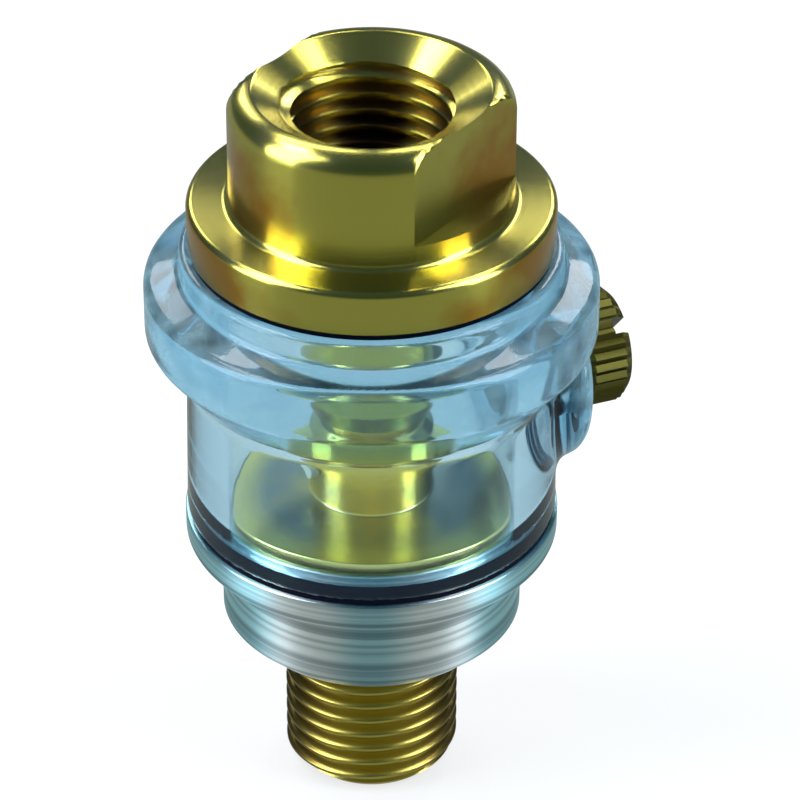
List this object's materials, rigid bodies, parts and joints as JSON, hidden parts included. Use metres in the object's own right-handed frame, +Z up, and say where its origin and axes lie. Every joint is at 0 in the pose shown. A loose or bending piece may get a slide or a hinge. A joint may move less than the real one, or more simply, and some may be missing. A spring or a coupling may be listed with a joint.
{
  "type": "air line lubricator",
  "caption": "In-line air lubricator: brass cap with a female port, clear oil bowl with a side filler plug, aluminium base and a brass stem ending in a male thread.",
  "frame": {"origin": "on the flow axis, at the centre of the male outlet's end face", "axes": "+Z up along the flow axis towards the inlet, +X towards the filler plug"},
  "size_m": [0.0358, 0.033, 0.0581],
  "materials": {
    "brass": "turned, bright",
    "plug_brass": "knurled, dull",
    "stem_brass": "turned, bright",
    "clear_plastic": "clear, moulded",
    "aluminium": "turned",
    "rubber": "matte",
    "felt": "felt"
  },
  "bodies": {
    "housing": {"inlet_cap": "brass", "cap_gasket": "rubber", "bowl": "clear_plastic", "base_gasket": "rubber", "base_nut": "aluminium", "stem_seal": "rubber", "outlet_stem": "stem_brass", "venturi_jet": "stem_brass", "oil_wick": "felt"},
    "filler_seal_body": {"filler_seal": "rubber"},
    "filler_plug_body": {"filler_plug": "plug_brass"},
    "metering_seal_body": {"metering_seal": "rubber"},
    "metering_screw_body": {"metering_screw": "plug_brass"}
  },
  "joints": [
    {"name": "filler_travel", "type": "slide", "parent": "housing", "child": "filler_seal_body", "axis": [1, 0, 0], "range_m": [0, 0.004]},
    {"name": "filler_turn", "type": "hinge", "parent": "filler_seal_body", "child": "filler_plug_body", "pos_m": [0.017, 0, 0.0326], "axis": [1, 0, 0], "range_deg": [0, 1441]},
    {"name": "metering_travel", "type": "slide", "parent": "housing", "child": "metering_seal_body", "axis": [0, 0, 1], "range_m": [-0.00025, 0.00075]},
    {"name": "metering_turn", "type": "hinge", "parent": "metering_seal_body", "child": "metering_screw_body", "pos_m": [0, 0, 0.0446], "axis": [0, 0, 1], "range_deg": [-181, 541]}
  ],
  "couplings": [
    {"joint": "filler_turn", "follows": "filler_travel", "rad_per_m": 6283.2},
    {"joint": "metering_turn", "follows": "metering_travel", "rad_per_m": 12566}
  ]
}
